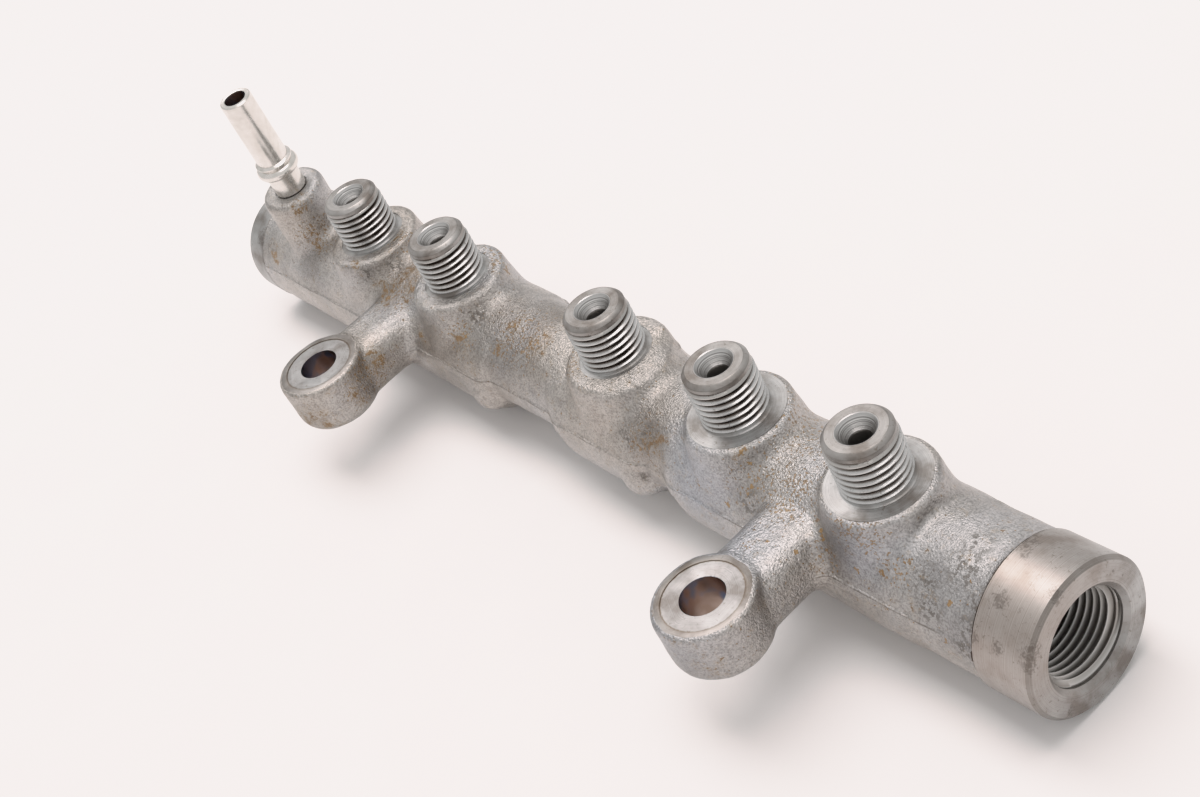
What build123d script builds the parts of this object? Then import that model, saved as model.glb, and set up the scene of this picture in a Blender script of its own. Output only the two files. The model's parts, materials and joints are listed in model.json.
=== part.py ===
from build123d import *
import os
from math import radians, tan

# Sizes in mm. The rail is drawn round its bar: the axis of the bar is X, the
# sensor-end face is at X = 0 and the rail runs towards -X. Outlet nipples stand
# along +Z and the mounting lugs reach towards -Y.

# Bar: a forged bar with a turned collar at each end
rail_length = 265.5
collar_d = 29.3
sensor_collar_length = 12.4
relief_collar_length = 7.3
collar_chamfer = 0.8
bar_d = 28.9
neck_step = 0.35
neck_taper = 4.0

# Outlet nipples, numbered from the relief end: M14 x 1.5 stubs on conical saddles
end_to_outlet = 41.0
outlet_pitch = 37.3
relief_end_to_outlet = 54.2
thread_d = 14.0
nipple_length = 12.4
nipple_chamfer = 1.2
spot_face_rise = 3.75
saddle_inset = 3.35
saddle_draft = 9.0
saddle_foot = 2.0
saddle_edge_fillet = 1.0
saddle_fillet = 4.0
seat_mouth_d = 7.3
seat_angle = 60.0
outlet_bore_d = 4.2

# Waists forged between the bands that carry the outlets; they bite into the
# lower half and fade out towards the crest
waist_bite = 2.05
waist_lift = 2.4
waist_slope = 26.0
waist_clear = 6.0
end_band_before = 16.5
third_band_after = 15.3
third_band_share = 0.303
second_band_share = 0.32

# Round-ended lumps below the die parting, both sides, at the +X end of the inner bands
parting_height = 3.0
lump_d = 12.0
lump_proud = 0.85
lump_height = 9.2
lump_edge_fillet = 3.0

# Mounting lugs
near_lug_inset = 15.7
far_lug_inset = 17.5
lug_reach = 32.8
lug_hole_d = 9.0
lug_d = 20.6
lug_top = 11.9
lug_bottom = -1.6
lug_top_fillet = 0.9
lug_bottom_fillet = 4.0
arm_width = 17.0
arm_drop = 3.05
arm_bottom = -1.2
arm_top_fillet = 5.5
arm_bottom_fillet = 4.5
arm_root_fillet = 3.0

# Sensor port, main gallery and relief-valve port
port_minor_d = 16.4
port_mouth_d = 19.1
sensor_port_depth = 17.0
relief_port_depth = 34.0
gallery_d = 10.0

# Return spigot: an 8 mm tube pressed into a slightly leaning boss that drains
# the relief-valve port
return_from_end = 24.9
return_y = -1.9
return_lean_x = 4.67
return_lean_y = 1.61
return_boss_d = 15.9
return_boss_rise = 12.95
return_boss_edge = 1.6
return_boss_fillet = 3.0
recess_d = 9.8
recess_depth = 3.0
press_length = 8.0
spigot_d = 8.0
spigot_bore_d = 5.3
spigot_reach = 28.6
spigot_tip_round = 0.6
bead_d = 10.8
bead_width = 3.2
bead_round = 1.1
bead_from_tip = 21.2
drain_d = 4.0

# Places and sizes that follow from those above
middle_gap = rail_length - end_to_outlet - 3 * outlet_pitch - relief_end_to_outlet
outlet_5 = -end_to_outlet
outlet_4 = outlet_5 - outlet_pitch
outlet_3 = outlet_4 - outlet_pitch
outlet_2 = outlet_3 - middle_gap
outlet_1 = outlet_2 - outlet_pitch
outlets = (outlet_1, outlet_2, outlet_3, outlet_4, outlet_5)
lugs = (outlet_1 + far_lug_inset, outlet_5 - near_lug_inset)
waists = (
    (outlet_4 - end_band_before, outlet_3 + third_band_after),
    (outlet_3 - third_band_share * middle_gap, outlet_2 + second_band_share * middle_gap),
)
lumps = (waists[0][1], waists[1][1])
waist_d = bar_d - 2 * waist_bite
lump_reach = bar_d / 2 + lump_proud
saddle_top_d = bar_d - 2 * saddle_inset
spot_face_height = bar_d / 2 + spot_face_rise
nipple_top = spot_face_height + nipple_length
neck_d = bar_d - 2 * neck_step
neck_end = outlet_5 + saddle_top_d / 2
arm_top = bar_d / 2 - arm_drop
return_x = return_from_end - rail_length
return_boss_height = bar_d / 2 + return_boss_rise
spigot_tip = return_boss_height + spigot_reach

# The return boss and its spigot share a leaning plane that starts level with the
# axis of the bar
lean = Vector(tan(radians(return_lean_x)), -tan(radians(return_lean_y)), 1)
return_plane = Plane(origin=(return_x, return_y, 0), x_dir=Vector(0, 1, 0).cross(lean), z_dir=lean)


def upright(x, y, z=0):
    """Plane standing at (x, y) with its local X along the bar and its local Y up."""
    return Plane(origin=(x, y, z), x_dir=(1, 0, 0), z_dir=(0, -1, 0))


with BuildPart() as rail_body:
    # Bar with its two collars
    with BuildSketch(upright(0, 0)):
        with BuildLine():
            Polyline(
                (0, 0),
                (0, collar_d / 2),
                (-sensor_collar_length, collar_d / 2),
                (-sensor_collar_length, bar_d / 2),
                (-rail_length + relief_collar_length, bar_d / 2),
                (-rail_length + relief_collar_length, collar_d / 2),
                (-rail_length, collar_d / 2),
                (-rail_length, 0),
                close=True,
            )
        make_face()
    revolve(axis=Axis.X)

    # Saddles under the outlets, melted into the crest of the bar
    saddle_foot_r = saddle_top_d / 2 + (spot_face_height - saddle_foot) * tan(radians(saddle_draft))
    for x in outlets:
        with BuildSketch(upright(x, 0)):
            with BuildLine():
                Polyline(
                    (0, saddle_foot),
                    (saddle_foot_r, saddle_foot),
                    (saddle_top_d / 2, spot_face_height),
                    (0, spot_face_height),
                    close=True,
                )
            make_face()
        revolve(axis=Axis((x, 0, 0), (0, 0, 1)))
    joints = rail_body.edges().filter_by(GeomType.BSPLINE)
    fillet(joints.filter_by(lambda e: saddle_foot < e.center().Z < spot_face_height), saddle_fillet)
    rims = rail_body.edges().filter_by(GeomType.CIRCLE)
    fillet(rims.filter_by(lambda e: abs(e.center().Z - spot_face_height) < 0.01), saddle_edge_fillet)

    # Waists, cut round an axis that lies above the bar's
    rise = waist_clear * tan(radians(waist_slope))
    for end, start in waists:
        with BuildSketch(upright(0, 0)):
            with BuildLine():
                Polyline(
                    (start, waist_lift + waist_d / 2),
                    (end, waist_lift + waist_d / 2),
                    (end + waist_clear * 2, waist_lift + waist_d / 2 + 2 * rise),
                    (start - waist_clear * 2, waist_lift + waist_d / 2 + 2 * rise),
                    close=True,
                )
            make_face()
        revolve(axis=Axis((0, 0, waist_lift), (1, 0, 0)), mode=Mode.SUBTRACT)

    # Lug arms, each with a rounded section, and their roots
    for x in lugs:
        with BuildSketch(upright(x, 0, (arm_top + arm_bottom) / 2)) as arm_section:
            Rectangle(arm_width, arm_top - arm_bottom)
            fillet(arm_section.vertices().group_by(Axis.Y)[-1], arm_top_fillet)
            fillet(arm_section.vertices().group_by(Axis.Y)[0], arm_bottom_fillet)
        extrude(amount=lug_reach)
        roots = rail_body.edges().filter_by(GeomType.BSPLINE)
        roots = roots.filter_by(lambda e: abs(e.center().X - x) < arm_width / 2 and -bar_d / 2 < e.center().Y < 0)
        fillet(roots.filter_by(lambda e: e.length > arm_root_fillet), arm_root_fillet)

    # Lug bosses at the arm ends
    for x in lugs:
        with BuildSketch(upright(x, -lug_reach)):
            with BuildLine() as boss_outline:
                Polyline((0, lug_bottom), (lug_d / 2, lug_bottom), (lug_d / 2, lug_top), (0, lug_top), close=True)
            boss_face = make_face()
            fillet(boss_face.vertices().sort_by(Axis.X)[-2:].sort_by(Axis.Y)[0], lug_bottom_fillet)
        revolve(axis=Axis((x, -lug_reach, 0), (0, 0, 1)))
    boss_tops = rail_body.edges().filter_by(GeomType.CIRCLE)
    fillet(boss_tops.filter_by(lambda e: abs(e.center().Z - lug_top) < 0.01), lug_top_fillet)

    # Die lumps on both flanks
    with BuildSketch(Plane.XY.offset(parting_height - lump_height)):
        for end in lumps:
            for side in (1, -1):
                with Locations((end - lump_d / 2, side * (lump_reach - lump_d / 2))):
                    Circle(lump_d / 2)
    lump_solids = extrude(amount=lump_height, mode=Mode.PRIVATE)
    add(lump_solids.fillet(lump_edge_fillet, lump_solids.edges().filter_by(GeomType.CIRCLE)))

    # Leaning boss for the return spigot
    with BuildSketch(return_plane):
        Circle(return_boss_d / 2)
    boss = extrude(amount=return_boss_height, mode=Mode.PRIVATE)
    boss_rim = boss.edges().filter_by(GeomType.CIRCLE).sort_by(Axis.Z)[-1]
    add(boss.fillet(return_boss_edge, [boss_rim]))
    boss_foot = rail_body.edges().filter_by(GeomType.BSPLINE)
    boss_foot = boss_foot.filter_by(lambda e: abs(e.center().X - return_x) < return_boss_d / 2 and e.center().Z > 0)
    fillet(boss_foot, return_boss_fillet)

    # Neck turned down between the last band and the sensor collar
    with BuildSketch(upright(0, 0)):
        with BuildLine():
            Polyline(
                (-sensor_collar_length, neck_d / 2),
                (neck_end + neck_taper, neck_d / 2),
                (neck_end, bar_d / 2),
                (neck_end, bar_d),
                (-sensor_collar_length, bar_d),
                close=True,
            )
        make_face()
    revolve(axis=Axis.X, mode=Mode.SUBTRACT)

    # Chamfered collar edges
    collar_edges = rail_body.edges().filter_by(GeomType.CIRCLE)
    chamfer(collar_edges.filter_by(lambda e: e.center().X > -0.01 or e.center().X < 0.01 - rail_length), collar_chamfer)

    # Threaded stubs on the spot faces, at the thread's outer size
    for x in outlets:
        with BuildSketch(Plane(origin=(x, 0, saddle_foot))):
            Circle(thread_d / 2)
        extrude(amount=nipple_top - saddle_foot)
    stub_tops = rail_body.edges().filter_by(GeomType.CIRCLE)
    chamfer(stub_tops.filter_by(lambda e: abs(e.center().Z - nipple_top) < 0.01), nipple_chamfer)

    # Main gallery with a port bored into each end
    mouth_depth = (port_mouth_d - port_minor_d) / 2
    with BuildSketch(upright(0, 0)):
        with BuildLine():
            Polyline(
                (0, 0),
                (0, port_mouth_d / 2),
                (-mouth_depth, port_minor_d / 2),
                (-sensor_port_depth, port_minor_d / 2),
                (-sensor_port_depth - (port_minor_d - gallery_d) / 2, gallery_d / 2),
                (-rail_length + relief_port_depth + (port_minor_d - gallery_d) / 2, gallery_d / 2),
                (-rail_length + relief_port_depth, port_minor_d / 2),
                (-rail_length + mouth_depth, port_minor_d / 2),
                (-rail_length, port_mouth_d / 2),
                (-rail_length, 0),
                close=True,
            )
        make_face()
    revolve(axis=Axis.X, mode=Mode.SUBTRACT)

    # Seat cone and cross drilling of each outlet
    seat_depth = (seat_mouth_d - outlet_bore_d) / 2 / tan(radians(seat_angle / 2))
    for x in outlets:
        with BuildSketch(upright(x, 0)):
            with BuildLine():
                Polyline(
                    (0, 0),
                    (outlet_bore_d / 2, 0),
                    (outlet_bore_d / 2, nipple_top - seat_depth),
                    (seat_mouth_d / 2, nipple_top),
                    (0, nipple_top),
                    close=True,
                )
            make_face()
        revolve(axis=Axis((x, 0, 0), (0, 0, 1)), mode=Mode.SUBTRACT)

    # Bolt holes through the lugs
    with BuildSketch(Plane.XY.offset(lug_top)):
        with Locations(*[(x, -lug_reach) for x in lugs]):
            Circle(lug_hole_d / 2)
    extrude(amount=lug_bottom - lug_top, mode=Mode.SUBTRACT)

    # Spigot seat: recess, press bore and drain into the relief port
    for diameter, bottom, top in (
        (recess_d, return_boss_height - recess_depth, return_boss_height),
        (spigot_d, return_boss_height - recess_depth - press_length, return_boss_height),
        (drain_d, 0, return_boss_height),
    ):
        with BuildSketch(return_plane.offset(bottom)):
            Circle(diameter / 2)
        extrude(amount=top - bottom, mode=Mode.SUBTRACT)
rail_body.part.label = "rail_body"


with BuildPart() as return_spigot:
    # Turned tube with a rounded tip and a retaining bead
    stem_end = return_boss_height - recess_depth - press_length
    bead_height = spigot_tip - bead_from_tip
    with BuildSketch(Plane(origin=return_plane.origin, x_dir=return_plane.x_dir, z_dir=-return_plane.y_dir)) as tube_profile:
        with BuildLine():
            Polyline(
                (spigot_bore_d / 2, stem_end),
                (spigot_d / 2, stem_end),
                (spigot_d / 2, bead_height - bead_width / 2),
                (bead_d / 2, bead_height - bead_width / 2),
                (bead_d / 2, bead_height + bead_width / 2),
                (spigot_d / 2, bead_height + bead_width / 2),
                (spigot_d / 2, spigot_tip),
                (spigot_bore_d / 2, spigot_tip),
                close=True,
            )
        make_face()
        fillet(tube_profile.vertices().group_by(Axis.Y)[-1], spigot_tip_round)
        fillet(tube_profile.vertices().group_by(Axis.X)[-1], bead_round)
    revolve(axis=Axis(return_plane.origin, return_plane.z_dir))
return_spigot.part.label = "return_spigot"


# The finished pieces are moved together into the rail's own frame, which starts
# midway between the bolt holes on the plane that the lugs seat on
to_lug_seats = Location((-sum(lugs) / 2, lug_reach, -lug_bottom))
os.makedirs("parts", exist_ok=True)
for piece in (rail_body.part, return_spigot.part):
    export_step(piece.moved(to_lug_seats), f"parts/{piece.label}.step")
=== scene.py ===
import json
import math

import bpy
from mathutils import Matrix, Vector


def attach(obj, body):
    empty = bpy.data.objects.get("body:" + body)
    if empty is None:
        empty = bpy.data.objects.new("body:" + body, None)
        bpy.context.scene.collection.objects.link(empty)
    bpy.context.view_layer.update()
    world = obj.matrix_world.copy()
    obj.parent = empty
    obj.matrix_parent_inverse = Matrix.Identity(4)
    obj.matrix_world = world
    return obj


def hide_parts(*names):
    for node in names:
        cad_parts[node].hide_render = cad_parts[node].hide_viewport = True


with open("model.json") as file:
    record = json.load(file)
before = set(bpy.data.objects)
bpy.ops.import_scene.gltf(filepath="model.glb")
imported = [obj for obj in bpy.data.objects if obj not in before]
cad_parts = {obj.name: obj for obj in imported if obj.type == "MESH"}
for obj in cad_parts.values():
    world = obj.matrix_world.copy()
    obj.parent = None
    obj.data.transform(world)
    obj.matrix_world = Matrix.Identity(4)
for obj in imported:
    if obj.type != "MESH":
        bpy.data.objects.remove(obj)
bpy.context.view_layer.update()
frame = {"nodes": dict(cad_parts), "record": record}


# ---------------------------------------------------------------------------
# Forged body. The rail is one drop forging in carbon steel: a thick bar with
# a boss under each outlet and two lugs. Its flash is trimmed at the parting
# plane, it is shot blasted, and only its working faces are then machined.
# ---------------------------------------------------------------------------

mm = 0.001
mounts = {mount["name"]: mount for mount in frame["record"]["mounts"]}
bar_y, bar_z = mounts["sensor_port"]["pos_m"][1:]
outlet_x = [mounts[f"outlet_{number}"]["pos_m"][0] for number in range(1, 6)]
spot_face_z = 19.8 * mm
lug_spacing = mounts["mount_bolts"]["dims"]["spacing_x_mm"] * mm
lug_x = [-lug_spacing / 2, lug_spacing / 2]
lug_top_z = 13.5 * mm
lug_hole_radius = 4.5 * mm
sensor_face_x, sensor_collar_back_x = 125.25 * mm, 112.85 * mm
relief_face_x, relief_collar_back_x = -140.25 * mm, -132.95 * mm
drilling_radius, gallery_radius = 2.1 * mm, 5.0 * mm
return_foot = Vector((-115.35, 30.9, 1.6)) * mm
return_axis = Vector((0.08139, -0.02801, 0.99629)).normalized()
boss_height = 27.5 * mm
parting_z, flash_half = 4.7 * mm, 0.85 * mm
blast_grain = 0.4 * mm


def linear(colour):
    """An sRGB hex colour as the linear RGBA that Blender mixes."""
    parts = [int(colour[i : i + 2], 16) / 255 for i in (1, 3, 5)]
    return [c / 12.92 if c < 0.04045 else ((c + 0.055) / 1.055) ** 2.4 for c in parts] + [1.0]


def add_node(material, kind, settings=(), links=()):
    """Adds a node, sets its properties, sockets or ramp stops, and links outputs into its sockets."""
    made = material.node_tree.nodes.new("ShaderNode" + kind)
    for name, value in dict(settings).items():
        if name == "stops":
            for place, colour in value[2:]:
                made.color_ramp.elements.new(place)
            for stop, (place, colour) in zip(made.color_ramp.elements, value):
                stop.position, stop.color = place, linear(colour)
        elif isinstance(name, str) and hasattr(made, name):
            setattr(made, name, value)
        else:
            made.inputs[name].default_value = value
    for name, output in dict(links).items():
        material.node_tree.links.new(output, made.inputs[name])
    return made


def new_material(name):
    """Makes an empty material and returns it with its Principled shader."""
    material = bpy.data.materials.new(name)
    material.use_nodes = True
    material.node_tree.nodes.clear()
    shader = add_node(material, "BsdfPrincipled")
    add_node(material, "OutputMaterial", {}, {"Surface": shader.outputs["BSDF"]})
    return material, shader


# Shot-blasted forged carbon steel. The blasting leaves a dull silver skin of
# fine dimples that glint in the light, with faint brown and blue tints.
# Handling has left rust specks in patches, and a dark line along the flash is partly
# rust and partly a painted shadow at its sheared edge.
blasted, shader = new_material("shot_blasted_forged_steel")
place = add_node(blasted, "TexCoord").outputs["Object"]


def near_spots(material, position, spots):
    """1 at the middle of these round patches, (x, y, z, radius) in millimetres, and 0 beyond them."""
    total = None
    for x, y, z, radius in spots:
        apart = add_node(
            material, "VectorMath", {"operation": "DISTANCE", 1: (x * mm, y * mm, z * mm)}, {0: position}
        )
        patch = add_node(
            material,
            "MapRange",
            {"interpolation_type": "SMOOTHSTEP", "From Min": radius * mm, "From Max": 0.15 * radius * mm},
            {"Value": apart.outputs["Value"]},
        ).outputs[0]
        if total is None:
            total = patch
        else:
            total = add_node(material, "Math", {"operation": "MAXIMUM"}, {0: total, 1: patch}).outputs[0]
    return total


blotch = add_node(
    blasted, "TexNoise", {"Scale": 1 / (9 * mm), "Detail": 6.0, "Roughness": 0.65}, {"Vector": place}
).outputs["Fac"]
skin = add_node(
    blasted,
    "ValToRGB",
    {"stops": [(0.32, "#a59b96"), (0.5, "#bfb7b2"), (0.68, "#d3cbc7")]},
    {"Fac": blotch},
).outputs["Color"]
tint = add_node(
    blasted, "TexNoise", {"Scale": 1 / (25 * mm), "Detail": 3.0, "Distortion": 0.6}, {"Vector": place}
).outputs["Fac"]
tints = add_node(
    blasted, "ValToRGB", {"stops": [(0.38, "#b4b5ba"), (0.5, "#b9b4b1"), (0.64, "#b9aea4")]}, {"Fac": tint}
).outputs["Color"]
skin = add_node(blasted, "Mix", {"data_type": "RGBA", 0: 0.4}, {6: skin, 7: tints}).outputs[2]
blued = near_spots(
    blasted,
    place,
    [(44, 20, 12, 17), (62, 8, 13, 20), (68, -4, 9, 17), (86, 22, 14, 13), (72, -11, -2, 11)],
)
blued = add_node(blasted, "Math", {"operation": "MULTIPLY", 1: 0.4}, {0: blued}).outputs[0]
skin = add_node(blasted, "Mix", {"data_type": "RGBA", 7: linear("#a6aebf")}, {0: blued, 6: skin}).outputs[2]

# The dimples that 0.5 mm shot leaves, drawn 0.4 mm across, which is a little
# coarser than they are. They are deeper in some places than in others, and
# shallowest near the sensor end.
grain = add_node(
    blasted, "TexNoise", {"Scale": 1 / blast_grain, "Detail": 2.5, "Roughness": 0.6}, {"Vector": place}
).outputs["Fac"]
grain_shade = add_node(
    blasted, "ValToRGB", {"stops": [(0.36, "#7d7875"), (0.58, "#ffffff")]}, {"Fac": grain}
).outputs["Color"]
skin = add_node(
    blasted, "Mix", {"data_type": "RGBA", "blend_type": "MULTIPLY", 0: 0.45}, {6: skin, 7: grain_shade}
).outputs[2]

# A mottle of thin scale everywhere, with bruised, scaly places near the
# sensor end and below the saddles.
scale_grain = add_node(
    blasted, "TexNoise", {"Scale": 1 / (1.4 * mm), "Detail": 4.0, "Roughness": 0.75}, {"Vector": place}
).outputs["Fac"]
mottled = add_node(
    blasted, "ValToRGB", {"stops": [(0.38, "#948c86"), (0.52, "#ffffff")]}, {"Fac": scale_grain}
).outputs["Color"]
skin = add_node(
    blasted, "Mix", {"data_type": "RGBA", "blend_type": "MULTIPLY", 0: 0.27}, {6: skin, 7: mottled}
).outputs[2]
scaly = add_node(
    blasted,
    "MapRange",
    {"interpolation_type": "SMOOTHSTEP", "From Min": 0.46, "From Max": 0.56},
    {"Value": scale_grain},
).outputs[0]
bruised = near_spots(
    blasted,
    place,
    [
        (101, 23, 12, 6), (103, 20.7, 8.8, 5.5), (106.5, 32, 15.7, 5), (107.5, 27.5, 14.5, 7),
        (112.6, 23.6, 13, 5), (112.2, 20.5, 8.5, 6), (111.3, 19.2, 4.5, 5), (58, 21, 10.5, 6),
        (23.5, 19.7, 2.4, 2.2), (26.9, 23, 11.5, 5), (-78.5, 24, 17, 3.2), (-52.8, 21.8, 15.7, 2),
        (-37.4, 27.6, 16.5, 6), (20, 21, 10, 5), (-74, 29.8, 16.7, 4), (100, 46, 8, 9),
        (-20, 44, 10, 14), (-128, 21.4, 10, 5),
    ],
)
bruise = add_node(blasted, "Math", {"operation": "MULTIPLY"}, {0: bruised, 1: scaly}).outputs[0]
darker = add_node(blasted, "Math", {"operation": "MULTIPLY", 1: 0.8}, {0: bruise}).outputs[0]
skin = add_node(
    blasted, "Mix", {"data_type": "RGBA", 7: linear("#4c4037")}, {0: darker, 6: skin}
).outputs[2]

# Rust: ragged clumps of 1 to 3 mm with finer specks round them, thick in
# patches and thin between them. The thickest is the darkest.
rust_grain = add_node(
    blasted, "TexNoise", {"Scale": 1 / (2.4 * mm), "Detail": 4.5, "Roughness": 0.82}, {"Vector": place}
).outputs["Fac"]
rusty = near_spots(
    blasted,
    place,
    [
        (-106, 28, 27, 5), (-107, 27, 19, 3), (-105.5, 27, 15.5, 5), (-126, 21, 9.6, 5),
        (-79, 36, 19.8, 4), (-81.5, 23, 19.7, 4), (-72, 24, 13.5, 7), (-65, 27, 14.6, 6),
        (-69, 30, 15.8, 4), (-41, 41, 19.5, 5), (-60, 9, 8.4, 7), (-60, 2, 9, 6), (-56, 20.5, 9, 4),
        (-39.6, 23.2, 12.4, 5), (-27, 24.4, 13, 4), (-25.5, 29.6, 15.7, 6), (-34.9, 19.9, 8, 3),
        (-15.5, 29, 15.6, 6), (25.5, 22, 10.2, 3), (30, 22.5, 11.4, 5), (55.6, 25.6, 18.5, 3.5),
        (77.4, 22, 12.3, 3), (-68, -8, 6, 9), (68, 2, 6, 9), (60, -10.5, 7, 6), (66, -12, 1, 7),
        (76, -8, 6, 5), (-62, -8, 3, 7), (30, 53, 12, 17), (-60, 54, 8, 19), (80, 53, 6, 17),
        (-20, 30, -21, 22), (60, 30, -20, 20),
    ],
)
rust_level = add_node(
    blasted, "Math", {"operation": "MULTIPLY_ADD", 1: 0.13}, {0: rusty, 2: rust_grain}
).outputs[0]
rust = add_node(
    blasted,
    "MapRange",
    {"interpolation_type": "SMOOTHSTEP", "From Min": 0.65, "From Max": 0.69, "To Max": 0.85},
    {"Value": rust_level},
).outputs[0]
stain = add_node(
    blasted,
    "MapRange",
    {"interpolation_type": "SMOOTHSTEP", "From Min": 0.54, "From Max": 0.68, "To Max": 0.3},
    {"Value": rust_level},
).outputs[0]
fine_grain = add_node(
    blasted, "TexNoise", {"Scale": 1 / (0.6 * mm), "Detail": 2.0, "Roughness": 0.55}, {"Vector": place}
).outputs["Fac"]
dusted = near_spots(
    blasted,
    place,
    [
        (66, 25, 15, 14), (57, 23, 14, 9), (88, 23, 18.5, 11), (94, 22, 12, 7), (79, 20, 9, 6),
        (67, 12, 12, 4), (26, 22, 11, 10), (-22, 28, 15, 16), (-40, 22, 13, 10), (-68, 25, 14, 12),
        (-106, 26, 18, 10), (-77, 35, 19, 8), (-60, 5, 8, 12), (5, 28, 18, 12), (-46, 40, 19, 10),
        (60, 44, 12, 30), (-60, 44, 12, 30), (64, -10, 4, 9),
    ],
)
fine_level = add_node(
    blasted, "Math", {"operation": "MULTIPLY_ADD", 1: 0.15}, {0: dusted, 2: fine_grain}
).outputs[0]
fine_rust = add_node(
    blasted,
    "MapRange",
    {"interpolation_type": "SMOOTHSTEP", "From Min": 0.71, "From Max": 0.75, "To Max": 0.75},
    {"Value": fine_level},
).outputs[0]

# Single rusty pits, about 1 mm across with ragged edges.
pits = near_spots(
    blasted,
    place,
    [
        (77.0, 22.4, 12.7, 1.1), (77.8, 21.7, 11.6, 1.1), (86.5, 20.3, 9.6, 1.0),
        (91.8, 21.6, 10.8, 1.1), (96.3, 24.3, 13.2, 1.2), (93.5, 18.8, 5.1, 0.9),
        (107.0, 22.3, 11.0, 1.0), (106.7, 19.0, 4.6, 1.0), (99.8, 19.1, 5.0, 0.9),
        (55.4, 25.6, 19.3, 1.2), (56.3, 25.8, 16.5, 0.9), (57.2, 23.6, 12.7, 1.0),
        (52.1, 20.1, 8.5, 1.0), (43.5, 20.5, 9.5, 0.9), (53.6, 18.5, 3.8, 0.9), (70.0, 15.5, 13.0, 0.8),
        (75.3, 16.8, 11.6, 0.9), (-71.0, 23.1, 13.0, 1.2), (-66.3, 24.6, 13.5, 1.1),
        (-38.7, 23.8, 12.9, 0.9), (-25.6, 30.1, 15.8, 1.2), (-27.9, 23.6, 12.3, 0.9),
        (-15.8, 28.6, 15.3, 1.0), (-106.2, 26.6, 26.2, 0.9),
    ],
)
pit_level = add_node(
    blasted, "Math", {"operation": "MULTIPLY_ADD", 1: 0.3}, {0: pits, 2: fine_grain}
).outputs[0]
pit_rust = add_node(
    blasted,
    "MapRange",
    {"interpolation_type": "SMOOTHSTEP", "From Min": 0.68, "From Max": 0.73, "To Max": 0.9},
    {"Value": pit_level},
).outputs[0]
rust_tone = add_node(
    blasted, "ValToRGB", {"stops": [(0.45, "#9c7a4e"), (0.7, "#74522d")]}, {"Fac": rust_grain}
).outputs["Color"]
for more in (fine_rust, pit_rust):
    rust = add_node(blasted, "Math", {"operation": "MAXIMUM"}, {0: rust, 1: more}).outputs[0]
skin = add_node(blasted, "Mix", {"data_type": "RGBA", 7: linear("#b19a7e")}, {0: stain, 6: skin}).outputs[2]
skin = add_node(blasted, "Mix", {"data_type": "RGBA"}, {0: rust, 6: skin, 7: rust_tone}).outputs[2]

# The saddles nearer the relief end and the lugs' sides are made greyer.
greyed_patches = near_spots(
    blasted,
    place,
    [
        (-68, 28, 17, 17), (-25, 30, 16, 20), (-108, 24, 10, 11), (27, 25, 12, 12), (-68, 6, 8, 14),
        (68.5, -10, 4, 12), (-68.5, -10, 4, 12),
    ],
)
greyed_patches = add_node(blasted, "Math", {"operation": "MULTIPLY", 1: 0.55}, {0: greyed_patches}).outputs[0]
skin = add_node(
    blasted,
    "Mix",
    {"data_type": "RGBA", "blend_type": "MULTIPLY", 7: linear("#c2bcb8")},
    {0: greyed_patches, 6: skin},
).outputs[2]

# A dark, broken line where the flash was sheared, partly rust and partly a painted
# shadow at the flash's edge, and one beside the collars.
apart = add_node(blasted, "SeparateXYZ", {}, {"Vector": place})
above = add_node(
    blasted, "Math", {"operation": "SUBTRACT", 1: parting_z + flash_half}, {0: apart.outputs["Z"]}
).outputs[0]
offset = add_node(blasted, "Math", {"operation": "ABSOLUTE"}, {0: above}).outputs[0]
flash_rust_and_shadow = add_node(
    blasted,
    "MapRange",
    {"interpolation_type": "SMOOTHSTEP", "From Min": 0.2 * mm, "From Max": 0.04 * mm},
    {"Value": offset},
).outputs[0]
on_bar = add_node(
    blasted,
    "MapRange",
    {"interpolation_type": "SMOOTHSTEP", "From Min": 15.5 * mm, "From Max": 18.2 * mm, "To Min": 0.25},
    {"Value": apart.outputs["Y"]},
).outputs[0]
seam_and_flash_shadow = add_node(blasted, "Math", {"operation": "MULTIPLY"}, {0: flash_rust_and_shadow, 1: on_bar}).outputs[0]
for collar_x in (sensor_collar_back_x, relief_collar_back_x):
    beyond = add_node(
        blasted, "Math", {"operation": "SUBTRACT", 1: collar_x}, {0: apart.outputs["X"]}
    ).outputs[0]
    beside = add_node(blasted, "Math", {"operation": "ABSOLUTE"}, {0: beyond}).outputs[0]
    edge = add_node(
        blasted,
        "MapRange",
        {"interpolation_type": "SMOOTHSTEP", "From Min": 0.5 * mm, "From Max": 0.1 * mm},
        {"Value": beside},
    ).outputs[0]
    seam_and_flash_shadow = add_node(blasted, "Math", {"operation": "MAXIMUM"}, {0: seam_and_flash_shadow, 1: edge}).outputs[0]
patchy = add_node(
    blasted,
    "MapRange",
    {"interpolation_type": "SMOOTHSTEP", "From Min": 0.4, "From Max": 0.62, "To Min": 0.08, "To Max": 0.6},
    {"Value": blotch},
).outputs[0]
broken_seam_and_shadow = add_node(blasted, "Math", {"operation": "MULTIPLY"}, {0: seam_and_flash_shadow, 1: patchy}).outputs[0]
# The broken line is painted dark brown: rust, and a painted shadow under the flash's edge.
skin = add_node(
    blasted, "Mix", {"data_type": "RGBA", 7: linear("#5d4f44")}, {0: broken_seam_and_shadow, 6: skin}
).outputs[2]

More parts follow.
